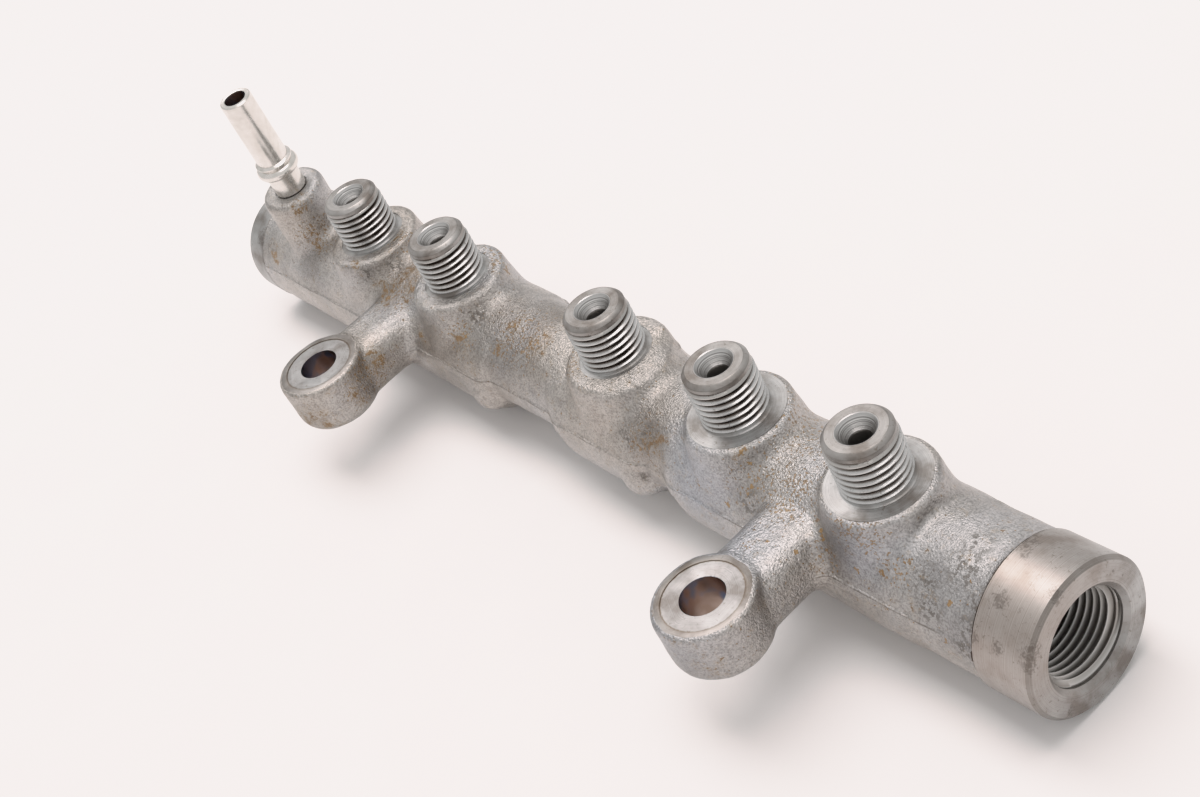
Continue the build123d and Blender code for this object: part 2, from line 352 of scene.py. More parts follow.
dirt = add_node(blasted, "Math", {"operation": "MAXIMUM"}, {0: rust, 1: bruise}).outputs[0]
metal = add_node(blasted, "MapRange", {"To Min": 0.95, "To Max": 0.25}, {"Value": dirt}).outputs[0]
dullness = add_node(
    blasted, "MapRange", {"From Min": 0.3, "From Max": 0.7, "To Min": 0.3, "To Max": 0.42}, {"Value": grain}
).outputs[0]
depth = add_node(
    blasted,
    "MapRange",
    {"From Min": 0.35, "From Max": 0.65, "To Min": 0.55, "To Max": 1.3},
    {"Value": blotch},
).outputs[0]
smoother = near_spots(blasted, place, [(98, 24, 9, 26), (108, 38, 12, 18)])
eased = add_node(blasted, "MapRange", {"To Min": 1.0, "To Max": 0.55}, {"Value": smoother}).outputs[0]
depth = add_node(blasted, "Math", {"operation": "MULTIPLY"}, {0: depth, 1: eased}).outputs[0]
dullness = add_node(
    blasted, "Math", {"operation": "MULTIPLY_ADD", 1: 0.15}, {0: smoother, 2: dullness}
).outputs[0]
dimples = add_node(blasted, "Math", {"operation": "MULTIPLY"}, {0: grain, 1: depth}).outputs[0]
height = add_node(blasted, "Math", {"operation": "MULTIPLY_ADD", 1: 0.3}, {0: rust, 2: dimples}).outputs[0]
bump = add_node(blasted, "Bump", {"Strength": 1.0, "Distance": 0.28 * mm}, {"Height": height})
for socket, output in (
    ("Base Color", skin),
    ("Metallic", metal),
    ("Roughness", dullness),
    ("Normal", bump.outputs["Normal"]),
):
    blasted.node_tree.links.new(output, shader.inputs[socket])

# Machined carbon steel, left bare. A cutter leaves fine feed lines. They run
# with the "feed" attribute, which grows across every turned face: on a turned
# piece it is radius plus height, and on the forging the distance from the
# nearest outlet or lug hole, in millimetres. The "groove" attribute is 1 at a
# thread's root, where oil and grime stay and where shade is painted, 0.02 at
# its crest and 0 off it.
machined, shader = new_material("turned_carbon_steel")
place = add_node(machined, "TexCoord").outputs["Object"]
feed = add_node(machined, "Attribute", {"attribute_name": "feed"}).outputs["Fac"]
groove = add_node(machined, "Attribute", {"attribute_name": "groove"}).outputs["Fac"]
feed_lines = add_node(
    machined,
    "TexNoise",
    {"noise_dimensions": "1D", "Scale": 1 / 0.2, "Detail": 3.0, "Roughness": 0.7},
    {"W": feed},
).outputs["Fac"]
film = add_node(
    machined, "TexNoise", {"Scale": 1 / (6 * mm), "Detail": 4.0, "Roughness": 0.55}, {"Vector": place}
).outputs["Fac"]
steel = add_node(
    machined, "ValToRGB", {"stops": [(0.34, "#8d8580"), (0.5, "#ada9a7"), (0.66, "#bebcbb")]}, {"Fac": film}
).outputs["Color"]
tanned = near_spots(machined, place, [(116, 24, 12, 30)])
tanned = add_node(machined, "Math", {"operation": "MULTIPLY", 1: 0.6}, {0: tanned}).outputs[0]
steel = add_node(
    machined, "Mix", {"data_type": "RGBA", 7: linear("#b6a59b")}, {0: tanned, 6: steel}
).outputs[2]
line_shade = add_node(
    machined, "ValToRGB", {"stops": [(0.3, "#cfcdcb"), (0.7, "#ffffff")]}, {"Fac": feed_lines}
).outputs["Color"]
steel = add_node(
    machined, "Mix", {"data_type": "RGBA", "blend_type": "MULTIPLY", 0: 0.8}, {6: steel, 7: line_shade}
).outputs[2]
# Thread roots are painted darker: partly oil and grime, partly painted shade in the grooves.
grime_and_root_shade = add_node(
    machined,
    "ValToRGB",
    {"stops": [(0.4, "#ffffff"), (0.75, "#b0a6a0"), (1.0, "#5a5049")]},
    {"Fac": groove},
).outputs["Color"]
steel = add_node(
    machined, "Mix", {"data_type": "RGBA", "blend_type": "MULTIPLY", 0: 1.0}, {6: steel, 7: grime_and_root_shade}
).outputs[2]

# The nuts have rubbed the thread crests bright.
rubbed = add_node(
    machined,
    "ValToRGB",
    {"stops": [(0.0, "#000000"), (0.02, "#c8c8c8"), (0.3, "#c8c8c8"), (0.6, "#000000")]},
    {"Fac": groove},
).outputs["Color"]
steel = add_node(
    machined, "Mix", {"data_type": "RGBA", 7: linear("#dfdddc")}, {0: rubbed, 6: steel}
).outputs[2]

# The collars' chamfered rims, feed 13.9 to 15.4 mm, and a few smudges are darker.
rim_start = add_node(
    machined,
    "MapRange",
    {"interpolation_type": "SMOOTHSTEP", "From Min": 13.8, "From Max": 14.0},
    {"Value": feed},
).outputs[0]
rim_end = add_node(
    machined,
    "MapRange",
    {"interpolation_type": "SMOOTHSTEP", "From Min": 15.5, "From Max": 15.3},
    {"Value": feed},
).outputs[0]
rim = add_node(machined, "Math", {"operation": "MULTIPLY"}, {0: rim_start, 1: rim_end}).outputs[0]
smudged = near_spots(
    machined,
    place,
    [
        (124.6, 29.9, 15.6, 2.4), (124.8, 21.6, 10.2, 3), (124.8, 20.2, 8.2, 2.5),
        (125.2, 24.3, -7.7, 1.5), (125.2, 41.6, 9.7, 0.5), (125.2, 43.2, 7.0, 0.5),
        (116.4, 25.4, 14.2, 3), (118.5, 20.0, 8.8, 2), (115.6, 33.6, 16.2, 1.6), (113.4, 20.2, 8.5, 2),
        (113.2, 36.0, 16, 4), (-133.2, 22, 11.5, 4),
    ],
)
specks = add_node(
    machined, "TexNoise", {"Scale": 1 / (0.7 * mm), "Detail": 2.0, "Distortion": 1.0}, {"Vector": place}
).outputs["Fac"]
marks = add_node(
    machined,
    "MapRange",
    {"interpolation_type": "SMOOTHSTEP", "From Min": 0.66, "From Max": 0.74, "To Max": 0.45},
    {"Value": specks},
).outputs[0]
smudge_level = add_node(
    machined, "Math", {"operation": "MULTIPLY_ADD", 1: 0.3}, {0: smudged, 2: specks}
).outputs[0]
smudge = add_node(
    machined,
    "MapRange",
    {"interpolation_type": "SMOOTHSTEP", "From Min": 0.55, "From Max": 0.9, "To Max": 0.55},
    {"Value": smudge_level},
).outputs[0]
worn_rim = add_node(machined, "Math", {"operation": "MULTIPLY", 1: 0.45}, {0: rim}).outputs[0]
for tone, share in (("#86786b", marks), ("#6d645d", worn_rim), ("#5c5049", smudge)):
    steel = add_node(
        machined, "Mix", {"data_type": "RGBA", 7: linear(tone)}, {0: share, 6: steel}
    ).outputs[2]

# The nipples' tips, feed 36 to 38 mm, are duller than the rest.
tip = add_node(
    machined,
    "MapRange",
    {"interpolation_type": "SMOOTHSTEP", "From Min": 35.6, "From Max": 36.4},
    {"Value": feed},
).outputs[0]
steel = add_node(
    machined,
    "Mix",
    {"data_type": "RGBA", "blend_type": "MULTIPLY", 7: linear("#eae6e3")},
    {0: tip, 6: steel},
).outputs[2]

# Each lug's face is polished out to 8.1 mm from its axis, with a brown line and
# a duller band beyond.
flat = add_node(
    machined, "VectorMath", {"operation": "MULTIPLY", 1: (1.0, 1.0, 0.0)}, {0: place}
).outputs["Vector"]
for x in lug_x:
    apart = add_node(
        machined, "VectorMath", {"operation": "DISTANCE", 1: (x, 0.0, 0.0)}, {0: flat}
    ).outputs["Value"]
    share = add_node(machined, "MapRange", {"From Max": 20 * mm}, {"Value": apart}).outputs[0]
    uneven = add_node(
        machined, "Math", {"operation": "MULTIPLY_ADD", 1: 0.02}, {0: specks, 2: share}
    ).outputs[0]
    bands = add_node(
        machined,
        "ValToRGB",
        {
            "stops": [
                (0.4, "#f1efef"),
                (0.41, "#a1866a"),
                (0.422, "#cbc0b7"),
                (0.45, "#d9d2cd"),
                (0.55, "#d9d2cd"),
                (0.6, "#ffffff"),
            ]
        },
        {"Fac": uneven},
    ).outputs["Color"]
    steel = add_node(
        machined, "Mix", {"data_type": "RGBA", "blend_type": "MULTIPLY", 0: 0.85}, {6: steel, 7: bands}
    ).outputs[2]

# The pipe nuts have burnished the threads, so they are glossier than the rest.
burnish = add_node(
    machined, "MapRange", {"From Max": 0.01, "To Min": 0.18, "To Max": 0.0}, {"Value": groove}
).outputs[0]
dullness = add_node(
    machined,
    "MapRange",
    {"From Min": 0.3, "From Max": 0.7, "To Min": 0.2, "To Max": 0.33},
    {"Value": feed_lines},
).outputs[0]
dullness = add_node(machined, "Math", {"operation": "ADD"}, {0: dullness, 1: burnish}).outputs[0]
bump = add_node(machined, "Bump", {"Strength": 1.0, "Distance": 0.014 * mm}, {"Height": feed_lines})
shader.inputs["Metallic"].default_value = 1.0
for socket, output in (
    ("Base Color", steel),
    ("Roughness", dullness),
    ("Normal", bump.outputs["Normal"]),
):
    machined.node_tree.links.new(output, shader.inputs[socket])

# Drilled carbon steel, coloured by the heat of the drill: straw brown to
# blue oxide over a bright wall.
tempered, shader = new_material("heat_tinted_drilled_steel")
place = add_node(tempered, "TexCoord").outputs["Object"]
heat = add_node(
    tempered, "TexNoise", {"Scale": 1 / (5 * mm), "Detail": 2.0}, {"Vector": place}
).outputs["Fac"]
steel = add_node(
    tempered, "ValToRGB", {"stops": [(0.38, "#9c8477"), (0.5, "#ab958b"), (0.6, "#8c93a8")]}, {"Fac": heat}
).outputs["Color"]
shader.inputs["Metallic"].default_value = 1.0
shader.inputs["Roughness"].default_value = 0.28
tempered.node_tree.links.new(steel, shader.inputs["Base Color"])

# A sealing seat, pressed bright by the pipe's ball end, with the rings of the
# tool that turned it.
pressed, shader = new_material("pressed_seat_steel")
rings = add_node(
    pressed,
    "TexNoise",
    {"noise_dimensions": "1D", "Scale": 1 / 0.35, "Detail": 2.0},
    {"W": add_node(pressed, "Attribute", {"attribute_name": "feed"}).outputs["Fac"]},
).outputs["Fac"]
steel = add_node(
    pressed, "ValToRGB", {"stops": [(0.36, "#8a8583"), (0.6, "#d2cfcd")]}, {"Fac": rings}
).outputs["Color"]
bump = add_node(pressed, "Bump", {"Strength": 1.0, "Distance": 0.05 * mm}, {"Height": rings})
shader.inputs["Metallic"].default_value = 1.0
shader.inputs["Roughness"].default_value = 0.3
pressed.node_tree.links.new(steel, shader.inputs["Base Color"])
pressed.node_tree.links.new(bump.outputs["Normal"], shader.inputs["Normal"])

# Tapped and drilled steel inside the ports and bores: dark with oil, and darker as
# painted shade inside the bores; its thread crests rubbed bright, its roots partly painted shade.
oil_and_bore_shade, shader = new_material("oiled_steel_with_painted_bore_shade")
groove = add_node(oil_and_bore_shade, "Attribute", {"attribute_name": "groove"}).outputs["Fac"]
steel = add_node(
    oil_and_bore_shade,
    "ValToRGB",
    {"stops": [(0.0, "#7b7672"), (0.02, "#c6c2bf"), (0.25, "#b3aeaa"), (1.0, "#8f8883")]},
    {"Fac": groove},
).outputs["Color"]
shader.inputs["Metallic"].default_value = 1.0
shader.inputs["Roughness"].default_value = 0.42
oil_and_bore_shade.node_tree.links.new(steel, shader.inputs["Base Color"])


def only(*objects):
    """Leaves just these objects selected, the first of them active."""
    bpy.ops.object.select_all(action="DESELECT")
    for one in objects:
        one.select_set(True)
    bpy.context.view_layer.objects.active = objects[0]


def apply_modifier(piece, kind, **settings):
    """Adds a modifier to the piece and applies it straight away."""
    only(piece)
    modifier = piece.modifiers.new(kind.lower(), kind)
    for name, value in settings.items():
        setattr(modifier, name, value)
    bpy.ops.object.modifier_apply(modifier=modifier.name)


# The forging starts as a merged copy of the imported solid.
body = bpy.data.objects.new("forged_body", frame["nodes"]["rail_body"].data.copy())
bpy.context.collection.objects.link(body)
only(body)
bpy.ops.object.mode_set(mode="EDIT")
bpy.ops.mesh.select_all(action="SELECT")
bpy.ops.mesh.remove_doubles(threshold=0.001 * mm)
bpy.ops.object.mode_set(mode="OBJECT")

# The blank before machining: every bore is stopped up, so that the skin can be
# rounded as a forging's is, and the bores are cut again afterwards.
stoppers = []
port_stop = 2.5 * mm
for x, y, z, radius, depth, turn in (
    [(x, 0.0, 6.7 * mm, 5.5 * mm, 12.4 * mm, (0, 0, 0)) for x in lug_x]
    + [(sensor_face_x - port_stop, bar_y, bar_z, 12 * mm, 4 * mm, (0, math.pi / 2, 0))]
    + [(relief_face_x + port_stop, bar_y, bar_z, 12 * mm, 4 * mm, (0, math.pi / 2, 0))]
    + [(x, bar_y, 24 * mm, 5 * mm, 12 * mm, (0, 0, 0)) for x in outlet_x]
):
    bpy.ops.mesh.primitive_cylinder_add(
        vertices=48, radius=radius, depth=depth, location=(x, y, z), rotation=turn
    )
    stoppers.append(bpy.context.object)
lean = return_axis.to_track_quat("Z", "Y")
bpy.ops.mesh.primitive_cylinder_add(
    vertices=48,
    radius=6.5 * mm,
    depth=12 * mm,
    location=return_foot + return_axis * (boss_height - 6.4 * mm),
    rotation=lean.to_euler(),
)
stoppers.append(bpy.context.object)

# A small scab of metal stands on the far flank.
scab_place = (15.0 * mm, 42.5 * mm, 15.2 * mm)
bpy.ops.mesh.primitive_ico_sphere_add(subdivisions=3, radius=1.1 * mm, location=scab_place)
scab = bpy.context.object
bpy.ops.object.mode_set(mode="EDIT")
bpy.ops.transform.resize(value=(2.2, 0.9, 0.8), center_override=scab_place)
bpy.ops.transform.vertex_random(offset=0.25 * mm, seed=4)
bpy.ops.object.mode_set(mode="OBJECT")
stoppers.append(scab)
only(body, *stoppers)
bpy.ops.object.join()
apply_modifier(body, "REMESH", mode="VOXEL", voxel_size=0.62 * mm)
apply_modifier(body, "SMOOTH", factor=0.5, iterations=5)

# The hammer and dies leave the skin slightly uneven.
unevenness = bpy.data.textures.new("die_wear", "CLOUDS")
unevenness.noise_scale = 7 * mm
unevenness.noise_depth = 2
apply_modifier(body, "DISPLACE", texture=unevenness, strength=0.35 * mm, mid_level=0.45)

# The trimmed flash stands as a narrow band round the parting plane. It is left
# only on the bar's upright flanks, which start beyond the roots of the arms.
flash_proud, arm_root_y = 0.28 * mm, 17.5 * mm
only(body)
bpy.ops.object.mode_set(mode="EDIT")
for height in (parting_z - flash_half, parting_z + flash_half):
    bpy.ops.mesh.select_all(action="SELECT")
    bpy.ops.mesh.bisect(plane_co=(0, 0, height), plane_no=(0, 0, 1))
bpy.ops.mesh.select_all(action="DESELECT")
bpy.ops.object.mode_set(mode="OBJECT")
for face in body.data.polygons:
    upright = abs(face.normal.z) < 0.75
    on_bar = face.center.y > arm_root_y
    face.select = abs(face.center.z - parting_z) < flash_half and upright and on_bar
bpy.ops.object.mode_set(mode="EDIT")
bpy.ops.transform.shrink_fatten(value=flash_proud)
bpy.ops.object.mode_set(mode="OBJECT")
body.data.materials.clear()
body.data.materials.append(blasted)

# The machining cuts: both ends, spot faces, lug faces and holes, bores.
cutters = []


def add_cutter(radius, start, end, finish, steps=96):
    """A round cutter from start to end, which leaves this finish on what it cuts."""
    start, end = Vector(start), Vector(end)
    bpy.ops.mesh.primitive_cylinder_add(
        vertices=steps,
        radius=radius,
        depth=(end - start).length,
        location=(start + end) / 2,
        rotation=(end - start).to_track_quat("Z", "Y").to_euler(),
    )
    cutter = bpy.context.object
    cutter.data.materials.append(finish)
    cutters.append(cutter)


def cut(piece):
    """Takes every waiting cutter out of the piece, one after another."""
    for cutter in cutters:
        apply_modifier(
            piece,
            "BOOLEAN",
            operation="DIFFERENCE",
            object=cutter,
            solver="MANIFOLD",
            material_mode="TRANSFER",
        )
        bpy.data.objects.remove(cutter)
    cutters.clear()


# The collars are modelled on their own, so both ends are faced off behind them.
# The ports go on from there to their floors, and the gallery joins them.
facing_radius, port_radius = 30 * mm, 9.3 * mm
for radius, start_x, end_x, finish, steps in (
    (facing_radius, sensor_collar_back_x, 140 * mm, machined, 96),
    (facing_radius, relief_collar_back_x, -150 * mm, machined, 96),
    (port_radius, 108.0 * mm, 114 * mm, oil_and_bore_shade, 96),
    (port_radius, -106.5 * mm, -134 * mm, oil_and_bore_shade, 96),
    (gallery_radius, -107 * mm, 108.5 * mm, oil_and_bore_shade, 48),
):
    add_cutter(radius, (start_x, bar_y, bar_z), (end_x, bar_y, bar_z), finish, steps)

# The two outlets nearest the sensor end are spot faced right across their
# saddles, and the other three only beside the neck and a touch deeper.
wide_spot_face, small_spot_face, small_spot_sink = 13.0 * mm, 7.9 * mm, 0.08 * mm
above_nipples_z, above_spot_face_z = 40 * mm, 21 * mm
for number, x in enumerate(outlet_x):
    reach, sink = (wide_spot_face, 0.0) if number > 2 else (small_spot_face, small_spot_sink)
    add_cutter(reach, (x, bar_y, spot_face_z - sink), (x, bar_y, above_nipples_z), machined)
    add_cutter(drilling_radius, (x, bar_y, bar_z), (x, bar_y, above_spot_face_z), machined, 32)

# The lugs are milled flat in one shallow cut and polished in a second.
lug_face_radius, lug_polish_radius, lug_cut = 13.0 * mm, 8.1 * mm, 0.12 * mm
below_lug_z, above_lug_z = -5 * mm, 20 * mm
for x in lug_x:
    add_cutter(lug_face_radius, (x, 0, lug_top_z - lug_cut), (x, 0, above_lug_z), machined)
    add_cutter(lug_polish_radius, (x, 0, lug_top_z - 2 * lug_cut), (x, 0, above_lug_z), machined)
    add_cutter(lug_hole_radius, (x, 0, below_lug_z), (x, 0, above_lug_z), tempered)

# The return boss is faced, and recessed round the tube.
boss_face_radius, recess_radius, recess_depth = 12.0 * mm, 4.3 * mm, 0.8 * mm
for radius, start, end in (
    (boss_face_radius, boss_height, 34 * mm),
    (recess_radius, boss_height - recess_depth, 30 * mm),
):
    add_cutter(radius, return_foot + return_axis * start, return_foot + return_axis * end, machined)
cut(body)
only(body)
bpy.ops.object.shade_smooth_by_angle(angle=math.radians(38))
feed = body.data.attributes.new("feed", "FLOAT", "POINT")
machined_centres = [(x, bar_y) for x in outlet_x] + [(x, 0.0) for x in lug_x]
for vertex in body.data.vertices:
    nearest = min(math.dist((vertex.co.x, vertex.co.y), centre) for centre in machined_centres)
    feed.data[vertex.index].value = nearest / mm
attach(body, "root")
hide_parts("rail_body")


# ---------------------------------------------------------------------------
# Outlet nipples. Each is turned from the forging's own steel: a spot-faced
# foot, a short neck, an M14 x 1.5 thread cut on a lathe, and a 60 degree seat
# that the ball end of an injector pipe is pressed into.
# ---------------------------------------------------------------------------

thread_pitch = 1.5 * mm
thread_crest, thread_root = 6.95 * mm, 6.14 * mm
thread_start_z, thread_end_z = 19.475 * mm, 31.475 * mm
seat_mouth_radius, seat_foot_z = 3.88 * mm, 29.4 * mm


def turn_piece(name, outline, finish, steps=96):
    """Draws half the outline, as (radius, height) in millimetres, and spins it round Z."""
    bpy.ops.object.select_all(action="DESELECT")
    bpy.ops.mesh.primitive_plane_add(size=1 * mm, location=(0, 0, 0))
    piece = bpy.context.object
    piece.name = piece.data.name = name
    bpy.ops.object.mode_set(mode="EDIT")
    bpy.ops.mesh.merge(type="CENTER")
    bpy.ops.transform.translate(value=(outline[0][0] * mm, 0, outline[0][1] * mm))
    for (r0, z0), (r1, z1) in zip(outline, outline[1:] + outline[:1]):
        step = ((r1 - r0) * mm, 0, (z1 - z0) * mm)
        bpy.ops.mesh.extrude_vertices_move(TRANSFORM_OT_translate={"value": step})
    bpy.ops.mesh.select_all(action="SELECT")
    bpy.ops.mesh.spin(steps=steps, angle=math.tau, center=(0, 0, 0), axis=(0, 0, 1))
    bpy.ops.mesh.select_all(action="SELECT")
    bpy.ops.mesh.remove_doubles(threshold=0.002 * mm)
    bpy.ops.mesh.normals_make_consistent(inside=False)
    bpy.ops.object.mode_set(mode="OBJECT")
    piece.data.materials.append(finish)
    return piece


def cut_thread(name, crest, root, start, end, finish, steps=72):
    """Winds a V-shaped tooth round Z from start to end, in metres, and closes its ends."""
    inward = 1 if crest > root else -1
    sunk = root - inward * 0.15 * mm
    half_crest, half_root, half_sunk = 0.1 * mm, 0.62 * mm, 0.72 * mm
    tooth = [
        (sunk, -half_sunk),
        (root, -half_root),
        (crest, -half_crest),
        (crest, half_crest),
        (root, half_root),
        (sunk, half_sunk),
    ]
    bpy.ops.object.select_all(action="DESELECT")
    bpy.ops.mesh.primitive_plane_add(size=1 * mm, location=(0, 0, 0))
    coil = bpy.context.object
    coil.name = coil.data.name = name
    bpy.ops.object.mode_set(mode="EDIT")
    bpy.ops.mesh.merge(type="CENTER")
    bpy.ops.transform.translate(value=(tooth[0][0], 0, start + tooth[0][1]))
    for (r0, z0), (r1, z1) in zip(tooth, tooth[1:] + tooth[:1]):
        bpy.ops.mesh.extrude_vertices_move(TRANSFORM_OT_translate={"value": (r1 - r0, 0, z1 - z0)})
    bpy.ops.mesh.select_all(action="SELECT")
    bpy.ops.mesh.remove_doubles(threshold=0.002 * mm)
    bpy.ops.object.mode_set(mode="OBJECT")
    turns = round((end - start) / thread_pitch)
    apply_modifier(
        coil,
        "SCREW",
        axis="Z",
        angle=math.tau,
        screw_offset=thread_pitch,
        iterations=turns,
        steps=steps,
        render_steps=steps,
        use_merge_vertices=True,
        merge_threshold=0.002 * mm,
    )
    bpy.ops.object.mode_set(mode="EDIT")
    bpy.ops.mesh.select_all(action="SELECT")
    bpy.ops.mesh.remove_doubles(threshold=0.002 * mm)
    bpy.ops.mesh.fill_holes(sides=0)
    bpy.ops.mesh.select_all(action="SELECT")
    bpy.ops.mesh.normals_make_consistent(inside=False)
    bpy.ops.object.mode_set(mode="OBJECT")
    coil.data.materials.append(finish)
    return coil


def mark_lathe_work(piece, crest, root, low, high):
    """Stores the feed and groove of each point, with the thread between the heights low and high."""
    along = piece.data.attributes.new("feed", "FLOAT", "POINT")
    deep = piece.data.attributes.new("groove", "FLOAT", "POINT")
    for vertex in piece.data.vertices:
        radius = math.hypot(vertex.co.x, vertex.co.y)
        along.data[vertex.index].value = (radius + vertex.co.z) / mm
        if low < vertex.co.z < high:
            share = (crest - radius) / (crest - root)
            deep.data[vertex.index].value = min(max(share, 0.02), 1.0) if share < 1.6 else 0.0


nipple = turn_piece(
    "outlet_nipple_1",
    [
        (2.1, 18.9), (10.0, 18.9), (10.0, 19.82), (7.2, 19.84), (6.95, 19.92), (6.7, 20.12),
        (6.4, 20.45), (6.2, 20.75), (6.14, 20.95), (6.14, 30.35), (6.62, 30.5), (6.64, 31.3),
        (6.5, 31.5), (5.95, 32.1), (5.75, 32.2), (3.95, 32.2), (3.75, 32.1), (3.6, 31.9), (2.22, 29.5),
        (2.1, 29.2),
    ],
    machined,
)
coil = cut_thread("outlet_thread", thread_crest, thread_root, thread_start_z, thread_end_z, machined)

# The crest is turned away towards the plain tip, and the thread runs out into
# the neck at its foot.
tip_radius, tip_z, tip_slope = 6.62 * mm, 30.35 * mm, 0.6
neck_radius, neck_z, runout_slope = 6.0 * mm, 19.2 * mm, 0.9
for vertex in coil.data.vertices:
    radius = math.hypot(vertex.co.x, vertex.co.y)
    below_tip = tip_radius + max(0.0, tip_z - vertex.co.z) * tip_slope
    above_neck = neck_radius + max(0.0, vertex.co.z - neck_z) * runout_slope
    held = min(radius, below_tip, above_neck)
    vertex.co.x *= held / radius
    vertex.co.y *= held / radius
only(nipple, coil)
bpy.ops.object.join()
mark_lathe_work(nipple, thread_crest, thread_root, 20.6 * mm, 30.4 * mm)
nipple.data.materials.append(pressed)
nipple.data.materials.append(oil_and_bore_shade)
# The drilled bore below the seat takes the oiled finish, which also paints shade inside it.
for face in nipple.data.polygons:
    if math.hypot(face.center.x, face.center.y) < seat_mouth_radius:
        face.material_index = 1 if face.center.z > seat_foot_z else 2
only(nipple)
bpy.ops.object.shade_smooth_by_angle(angle=math.radians(25))
nipples = [nipple]
for number in range(2, 6):
    copy = nipple.copy()
    copy.data = nipple.data.copy()
    copy.name = copy.data.name = f"outlet_nipple_{number}"
    bpy.context.collection.objects.link(copy)
    nipples.append(copy)

# The three nearer the relief end have small feet, to fit their spot faces.
wide_foot_radius, small_foot_radius, small_foot_sink = 7.7 * mm, 7.85 * mm, 0.07 * mm
for one in nipples[:3]:
    for vertex in one.data.vertices:
        radius = math.hypot(vertex.co.x, vertex.co.y)
        if radius > wide_foot_radius:
            vertex.co.x *= small_foot_radius / radius
            vertex.co.y *= small_foot_radius / radius
            vertex.co.z -= small_foot_sink
for one, x in zip(nipples, outlet_x):
    one.data.transform(Matrix.Translation((x, bar_y, 0)))
    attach(one, "root")


# ---------------------------------------------------------------------------
# Sensor end. The bar's own steel is turned to a collar here, then faced, bored
# and threaded M18 x 1.5 for the rail pressure sensor.
# ---------------------------------------------------------------------------

port_crest, port_root, mouth_radius = 8.2 * mm, 9.05 * mm, 9.2 * mm


def turn_port_collar(name, length, tapped, runout, depth, thread_end, grimy_end, place):
    """One threaded end of the bar, its face at height 0 and its bore up Z, with lengths in mm."""
    collar = turn_piece(
        name,
        [
            (9.05, 1.8), (9.05, tapped), (8.2, runout), (8.2, depth), (9.6, depth),
            (9.6, length + 0.4), (13.6, length + 0.4), (13.6, length), (14.35, length),
            (14.65, length - 0.3), (14.65, 0.75), (13.9, 0.0), (10.1, 0.0), (9.2, 0.9), (9.2, 1.6),
        ],
        machined,
        128,
    )
    coil = cut_thread(f"{name}_thread", port_crest, port_root, 1.4 * mm, thread_end * mm, oil_and_bore_shade, 96)

    # The first turn is cut away on a slope at the chamfered mouth.
    first_turn_z, first_turn_radius, lead_in_z, lead_in_slope = 1.3 * mm, 9.12 * mm, 1.6 * mm, 1.2
    for vertex in coil.data.vertices:
        radius = math.hypot(vertex.co.x, vertex.co.y)
        mouth = mouth_radius - max(vertex.co.z - lead_in_z, 0.0) * lead_in_slope
        held = max(radius, min(mouth, first_turn_radius))
        vertex.co.x *= held / radius
        vertex.co.y *= held / radius
        vertex.co.z = max(vertex.co.z, first_turn_z)
    only(collar, coil)
    bpy.ops.object.join()
    mark_lathe_work(collar, port_crest, port_root, 1.7 * mm, grimy_end * mm)
    # The bore behind the mouth takes the oiled finish, which also paints shade inside the port.
    bore_radius, bore_start_z = 9.15 * mm, 1.4 * mm
    for face in collar.data.polygons:
        if math.hypot(face.center.x, face.center.y) < bore_radius and face.center.z > bore_start_z:
            face.material_index = collar.data.materials.find(oil_and_bore_shade.name)
    collar.data.transform(place)
    only(collar)
    bpy.ops.object.shade_smooth_by_angle(angle=math.radians(25))
    return collar


sensor_collar = turn_port_collar(
    "sensor_end_collar",
    length=12.4,
    tapped=15.4,
    runout=16.2,
    depth=17.3,
    thread_end=15.0,
    grimy_end=16.0,
    place=Matrix.Translation((sensor_face_x, bar_y, bar_z)) @ Matrix.Rotation(-math.pi / 2, 4, "Y"),
)
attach(sensor_collar, "root")


# ---------------------------------------------------------------------------
# Relief end. The bar's steel is turned, bored deeper and threaded in the same
# way at its other end, for the pressure limiting valve.
# ---------------------------------------------------------------------------

relief_collar = turn_port_collar(
    "relief_end_collar",
    length=7.3,
    tapped=26.0,
    runout=26.5,
    depth=26.8,
    thread_end=22.4,
    grimy_end=26.0,
    place=Matrix.Translation((relief_face_x, bar_y, bar_z)) @ Matrix.Rotation(math.pi / 2, 4, "Y"),
)
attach(relief_collar, "root")


# ---------------------------------------------------------------------------
# Return spigot. A turned steel tube with a rolled bead for a quick connector,
# plated bright against rust and pressed into the boss at the relief end.
# ---------------------------------------------------------------------------

# Bright nickel plate on turned steel: nearly white, with soft lengthwise
# streaks from the turning below the plate.
plated, shader = new_material("bright_nickel_plate")
place = add_node(plated, "TexCoord").outputs["Object"]
streak = add_node(
    plated, "TexNoise", {"Scale": 1 / (2.5 * mm), "Detail": 3.0}, {"Vector": place}
).outputs["Fac"]
plate = add_node(
    plated, "ValToRGB", {"stops": [(0.3, "#cfcac4"), (0.65, "#e4dfda")]}, {"Fac": streak}
).outputs["Color"]
dullness = add_node(plated, "MapRange", {"To Min": 0.16, "To Max": 0.34}, {"Value": streak}).outputs[0]
shader.inputs["Metallic"].default_value = 1.0
plated.node_tree.links.new(plate, shader.inputs["Base Color"])
plated.node_tree.links.new(dullness, shader.inputs["Roughness"])

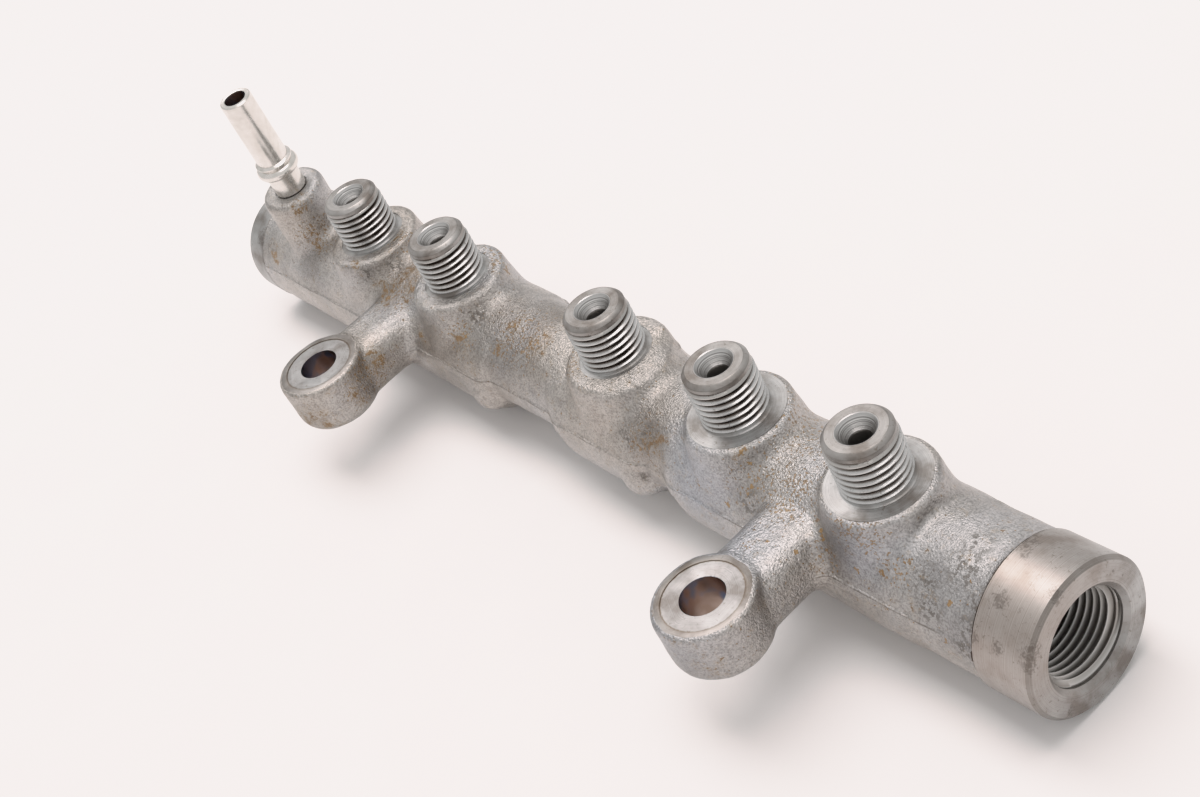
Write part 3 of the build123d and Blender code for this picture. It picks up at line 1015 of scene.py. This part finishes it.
spigot = turn_piece(
    "return_spigot_tube",
    [
        (2.65, 16.0), (4.0, 16.0), (4.0, 33.0), (4.5, 33.1), (5.0, 33.35), (5.3, 33.85), (5.4, 34.4),
        (5.3, 34.95), (5.0, 35.4), (4.5, 35.7), (4.2, 35.85), (4.2, 36.1), (4.5, 36.25), (4.75, 36.5),
        (4.75, 36.75), (4.5, 37.0), (4.0, 37.2), (4.0, 55.4), (3.9, 55.75), (3.6, 56.0), (2.95, 56.0),
        (2.72, 55.9), (2.65, 55.6),
    ],
    plated,
    64,
)

# The plate doesn't reach down the bore, which stays dull.
bore_radius = 2.68 * mm
spigot.data.materials.append(tempered)
for face in spigot.data.polygons:
    if math.hypot(face.center.x, face.center.y) < bore_radius:
        face.material_index = 1
spigot.data.transform(Matrix.Translation(return_foot) @ lean.to_matrix().to_4x4())
only(spigot)
bpy.ops.object.shade_smooth_by_angle(angle=math.radians(30))
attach(spigot, "root")
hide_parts("return_spigot")


# ---------------------------------------------------------------------------
# The set: a matt off-white table, a light tent with a large soft light over
# it, and the camera.
# ---------------------------------------------------------------------------

# Matt white card: faintly warm, with faint clouds 25 mm across. Its fibre is too
# fine to show.
card, shader = new_material("matt_white_card")
place = add_node(card, "TexCoord").outputs["Object"]
clouds = add_node(
    card, "TexNoise", {"Scale": 1 / (25 * mm), "Detail": 4.0}, {"Vector": place}
).outputs["Fac"]
paper = add_node(
    card, "ValToRGB", {"stops": [(0.3, "#eee9e8"), (0.7, "#f1ecea")]}, {"Fac": clouds}
).outputs["Color"]
shader.inputs["Roughness"].default_value = 0.8
card.node_tree.links.new(paper, shader.inputs["Base Color"])
bpy.ops.object.select_all(action="DESELECT")
bpy.ops.mesh.primitive_plane_add(size=8.0, location=(0, bar_y, -13.1 * mm))
table = bpy.context.object
table.name = "table_top"
table.data.materials.append(card)

world = bpy.data.worlds.new("light_tent")
bpy.context.scene.world = world
world.use_nodes = True
world.node_tree.nodes["Background"].inputs["Color"].default_value = linear("#fdfcfb")
world.node_tree.nodes["Background"].inputs["Strength"].default_value = 0.74

# A long softbox hangs a metre over the rail, a little towards its relief end.
bpy.ops.object.light_add(type="AREA", location=(-0.265, 0.175, 1.0))
softbox = bpy.context.object
softbox.name = "overhead_softbox"
softbox.data.shape = "RECTANGLE"
softbox.data.size, softbox.data.size_y = 1.37, 0.55
softbox.data.energy = 9.8
softbox.visible_camera = False

bpy.ops.object.camera_add(
    location=(293.2 * mm, -89.6 * mm, 246.0 * mm),
    rotation=(math.radians(49.0227), math.radians(22.6667), math.radians(49.4976)),
)
camera = bpy.context.object
camera.data.sensor_width = 36.0
camera.data.lens = 57.12
camera.data.clip_start = 0.01
bpy.context.scene.camera = camera

# The camera's tone curve: straight in the middle tones, with a shoulder that
# holds the bright card just below white.
view = bpy.context.scene.view_settings
view.view_transform = "Standard"
view.use_curve_mapping = True
tone = view.curve_mapping
tone.clip_max_x = 2.0
tone.extend = "HORIZONTAL"
for curve, brightest in zip(tone.curves[:3], (0.918, 0.88, 0.872)):
    curve.points[1].location = (1.15, brightest)
    curve.points.new(0.55, 0.55)
    curve.points.new(0.85, 0.8 * brightest / 0.9)
tone.update()
